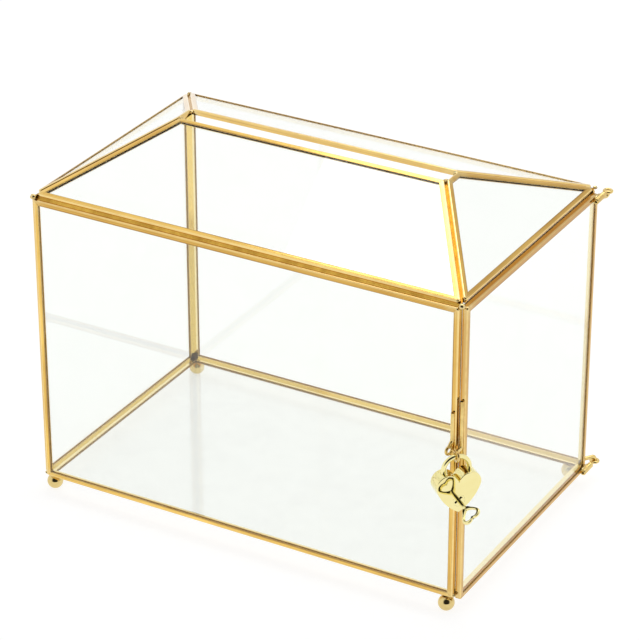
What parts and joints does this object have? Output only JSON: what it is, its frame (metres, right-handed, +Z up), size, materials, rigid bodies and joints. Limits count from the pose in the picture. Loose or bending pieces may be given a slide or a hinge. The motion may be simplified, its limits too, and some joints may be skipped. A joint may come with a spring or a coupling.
{
  "type": "wedding card box",
  "caption": "Clear glass card box edged in brass channel, with a hipped roof slotted along the ridge, an end door on wire hinges, ball feet and a heart padlock with its key.",
  "frame": {"origin": "on the table under the middle of the case, between the four feet", "axes": "+X along the length towards the door, +Y towards the back with the hinges, +Z up"},
  "size_m": [0.2804, 0.1915, 0.2097],
  "materials": {
    "brass_channel": "polished folded brass",
    "brass_wire": "polished brass wire",
    "brass_feet": "polished brass",
    "polished_gold": "mirror-polished gold plate",
    "glass": "clear",
    "solder": "dull grey solder",
    "lock_steel": "plain steel"
  },
  "bodies": {
    "case": {"base_channel": "brass_channel", "front_channel": "brass_channel", "back_channel": "brass_channel", "left_channel": "brass_channel", "roof_front_channel": "brass_channel", "roof_right_channel": "brass_channel", "roof_back_channel": "brass_channel", "roof_left_channel": "brass_channel", "base_glass": "glass", "front_glass": "glass", "back_glass": "glass", "left_glass": "glass", "roof_front_glass": "glass", "roof_right_glass": "glass", "roof_back_glass": "glass", "roof_left_glass": "glass", "front_left_foot": "brass_feet", "front_right_foot": "brass_feet", "back_left_foot": "brass_feet", "back_right_foot": "brass_feet", "corner_solder": "solder", "upper_hinge_pin": "brass_wire", "lower_hinge_pin": "brass_wire", "case_hasp_eye": "brass_wire"},
    "door": {"door_channel": "brass_channel", "door_glass": "glass", "upper_hinge_tube": "brass_wire", "lower_hinge_tube": "brass_wire", "upper_hinge_eye": "brass_wire", "lower_hinge_eye": "brass_wire", "door_hasp_eye": "brass_wire"},
    "shackle": {"shackle": "polished_gold"},
    "lock_body": {"lock_front_shell": "polished_gold", "lock_back_shell": "polished_gold", "shackle_spring": "lock_steel"},
    "lock_plug": {"lock_plug": "polished_gold"},
    "lock_latch": {"lock_latch": "lock_steel"},
    "key": {"key": "polished_gold"}
  },
  "joints": [
    {"name": "door_swing", "type": "hinge", "parent": "case", "child": "door", "pos_m": [0.1319, 0.0855, 0.09368], "axis": [0, 0, 1], "range_deg": [0, 175]},
    {"name": "lock_swing", "type": "hinge", "parent": "door", "child": "shackle", "pos_m": [0.13051, -0.08556, 0.09958], "axis": [-0.6428, -0.766, 0], "range_deg": [0, 70]},
    {"name": "shackle_slide", "type": "slide", "parent": "shackle", "child": "lock_body", "axis": [0, 0, -1], "range_m": [0, 0.0067], "deforming": ["shackle_spring"]},
    {"name": "key_turn", "type": "hinge", "parent": "lock_body", "child": "lock_plug", "pos_m": [0.13051, -0.08556, 0.07588], "axis": [0.766, -0.6428, 0], "range_deg": [-40, 50]},
    {"name": "latch_slide", "type": "slide", "parent": "lock_body", "child": "lock_latch", "axis": [0.6428, 0.766, 0], "range_m": [-0.00127, 0.00101]},
    {"name": "key_pull", "type": "slide", "parent": "lock_plug", "child": "key", "axis": [0.766, -0.6428, 0], "range_m": [0, 0.02]}
  ],
  "couplings": [
    {"joint": "key_turn", "follows": "latch_slide", "rad_per_m": -689.65}
  ]
}
